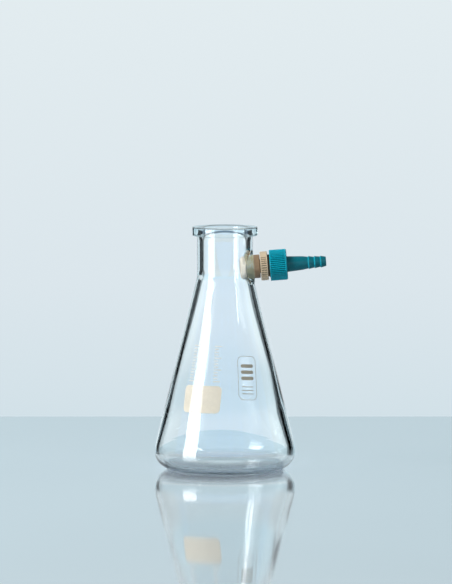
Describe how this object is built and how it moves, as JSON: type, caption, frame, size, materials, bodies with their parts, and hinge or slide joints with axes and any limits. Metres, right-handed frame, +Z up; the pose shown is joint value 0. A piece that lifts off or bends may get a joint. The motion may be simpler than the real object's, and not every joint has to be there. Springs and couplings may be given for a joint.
{
  "type": "filtering flask",
  "caption": "Conical heavy-walled glass filtering flask with a banded rim and a screw-on plastic hose connection in its neck.",
  "frame": {"origin": "centre of the flask's flat base, on the bench", "axes": "+Z up through the mouth, +X towards the hose connection"},
  "size_m": [0.1281, 0.105, 0.181],
  "materials": {
    "clear_glass": "fire-polished, clear, faint cool tint in thick glass",
    "sleeve_rubber": "matte natural rubber, slightly translucent",
    "coupling_plastic": "semi-gloss moulded plastic",
    "seal_rubber": "matte",
    "nozzle_plastic": "semi-gloss moulded plastic",
    "nut_plastic": "satin moulded plastic",
    "cream_enamel": "fired ceramic print, matte",
    "taupe_enamel": "fired ceramic print, matte",
    "white_enamel": "fired ceramic print, matte"
  },
  "bodies": {
    "flask": {"flask_body": "clear_glass", "rubber_sleeve": "sleeve_rubber", "threaded_coupling": "coupling_plastic"},
    "seal": {"sealing_ring": "seal_rubber"},
    "nozzle": {"hose_nozzle": "nozzle_plastic"},
    "nut": {"union_nut": "nut_plastic"}
  },
  "joints": [
    {"name": "seal_slide", "type": "slide", "parent": "flask", "child": "seal", "axis": [0.9972, 0, 0.075], "range_m": [0, 0.0075]},
    {"name": "nozzle_swivel", "type": "hinge", "parent": "seal", "child": "nozzle", "pos_m": [0.04288, 0, 0.15279], "axis": [0.9972, 0, 0.075], "continuous": true},
    {"name": "nut_turn", "type": "hinge", "parent": "seal", "child": "nut", "pos_m": [0.03989, 0, 0.15257], "axis": [0.9972, 0, 0.075], "range_deg": [0, 900]}
  ],
  "couplings": [
    {"joint": "seal_slide", "follows": "nut_turn", "m_per_rad": 0.00047746}
  ]
}
